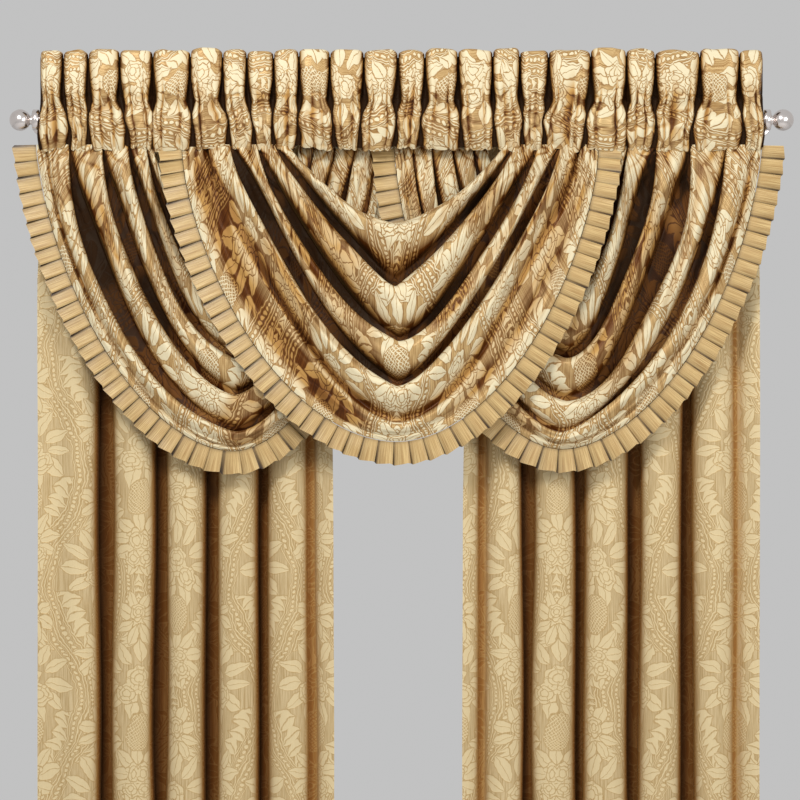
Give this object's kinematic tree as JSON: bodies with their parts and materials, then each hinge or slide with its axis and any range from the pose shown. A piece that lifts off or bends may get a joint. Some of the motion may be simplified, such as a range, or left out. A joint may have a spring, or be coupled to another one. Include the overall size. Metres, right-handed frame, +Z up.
{
  "type": "swag and tail drape on a double curtain rod",
  "caption": "Overlapping swags with pleated trim over long tail panels, hung on a double rod with ball finials.",
  "frame": {"origin": "on the wall plane, midway between the two wall plates and level with the axis of the front rod", "axes": "+Z up, +Y into the wall, so the drape's face is towards -Y and the rods run along X"},
  "size_m": [1.6616, 0.2458, 2.2488],
  "materials": {
    "damask": "woven satin damask",
    "slub_trim": "ribbed satin, knife pleated",
    "panel_damask": "woven satin damask",
    "nickel": "polished nickel plate"
  },
  "bodies": {
    "root": {"rod_front": "nickel", "rod_rear": "nickel", "finial_left": "nickel", "finial_right": "nickel", "bracket_left": "nickel", "bracket_right": "nickel", "heading_left": "damask", "heading_centre": "damask", "heading_right": "damask", "swag_left": "damask", "swag_centre": "damask", "swag_right": "damask", "trim_left": "slub_trim", "trim_centre": "slub_trim", "trim_right": "slub_trim", "panel_left": "panel_damask", "panel_right": "panel_damask"}
  },
  "joints": []
}
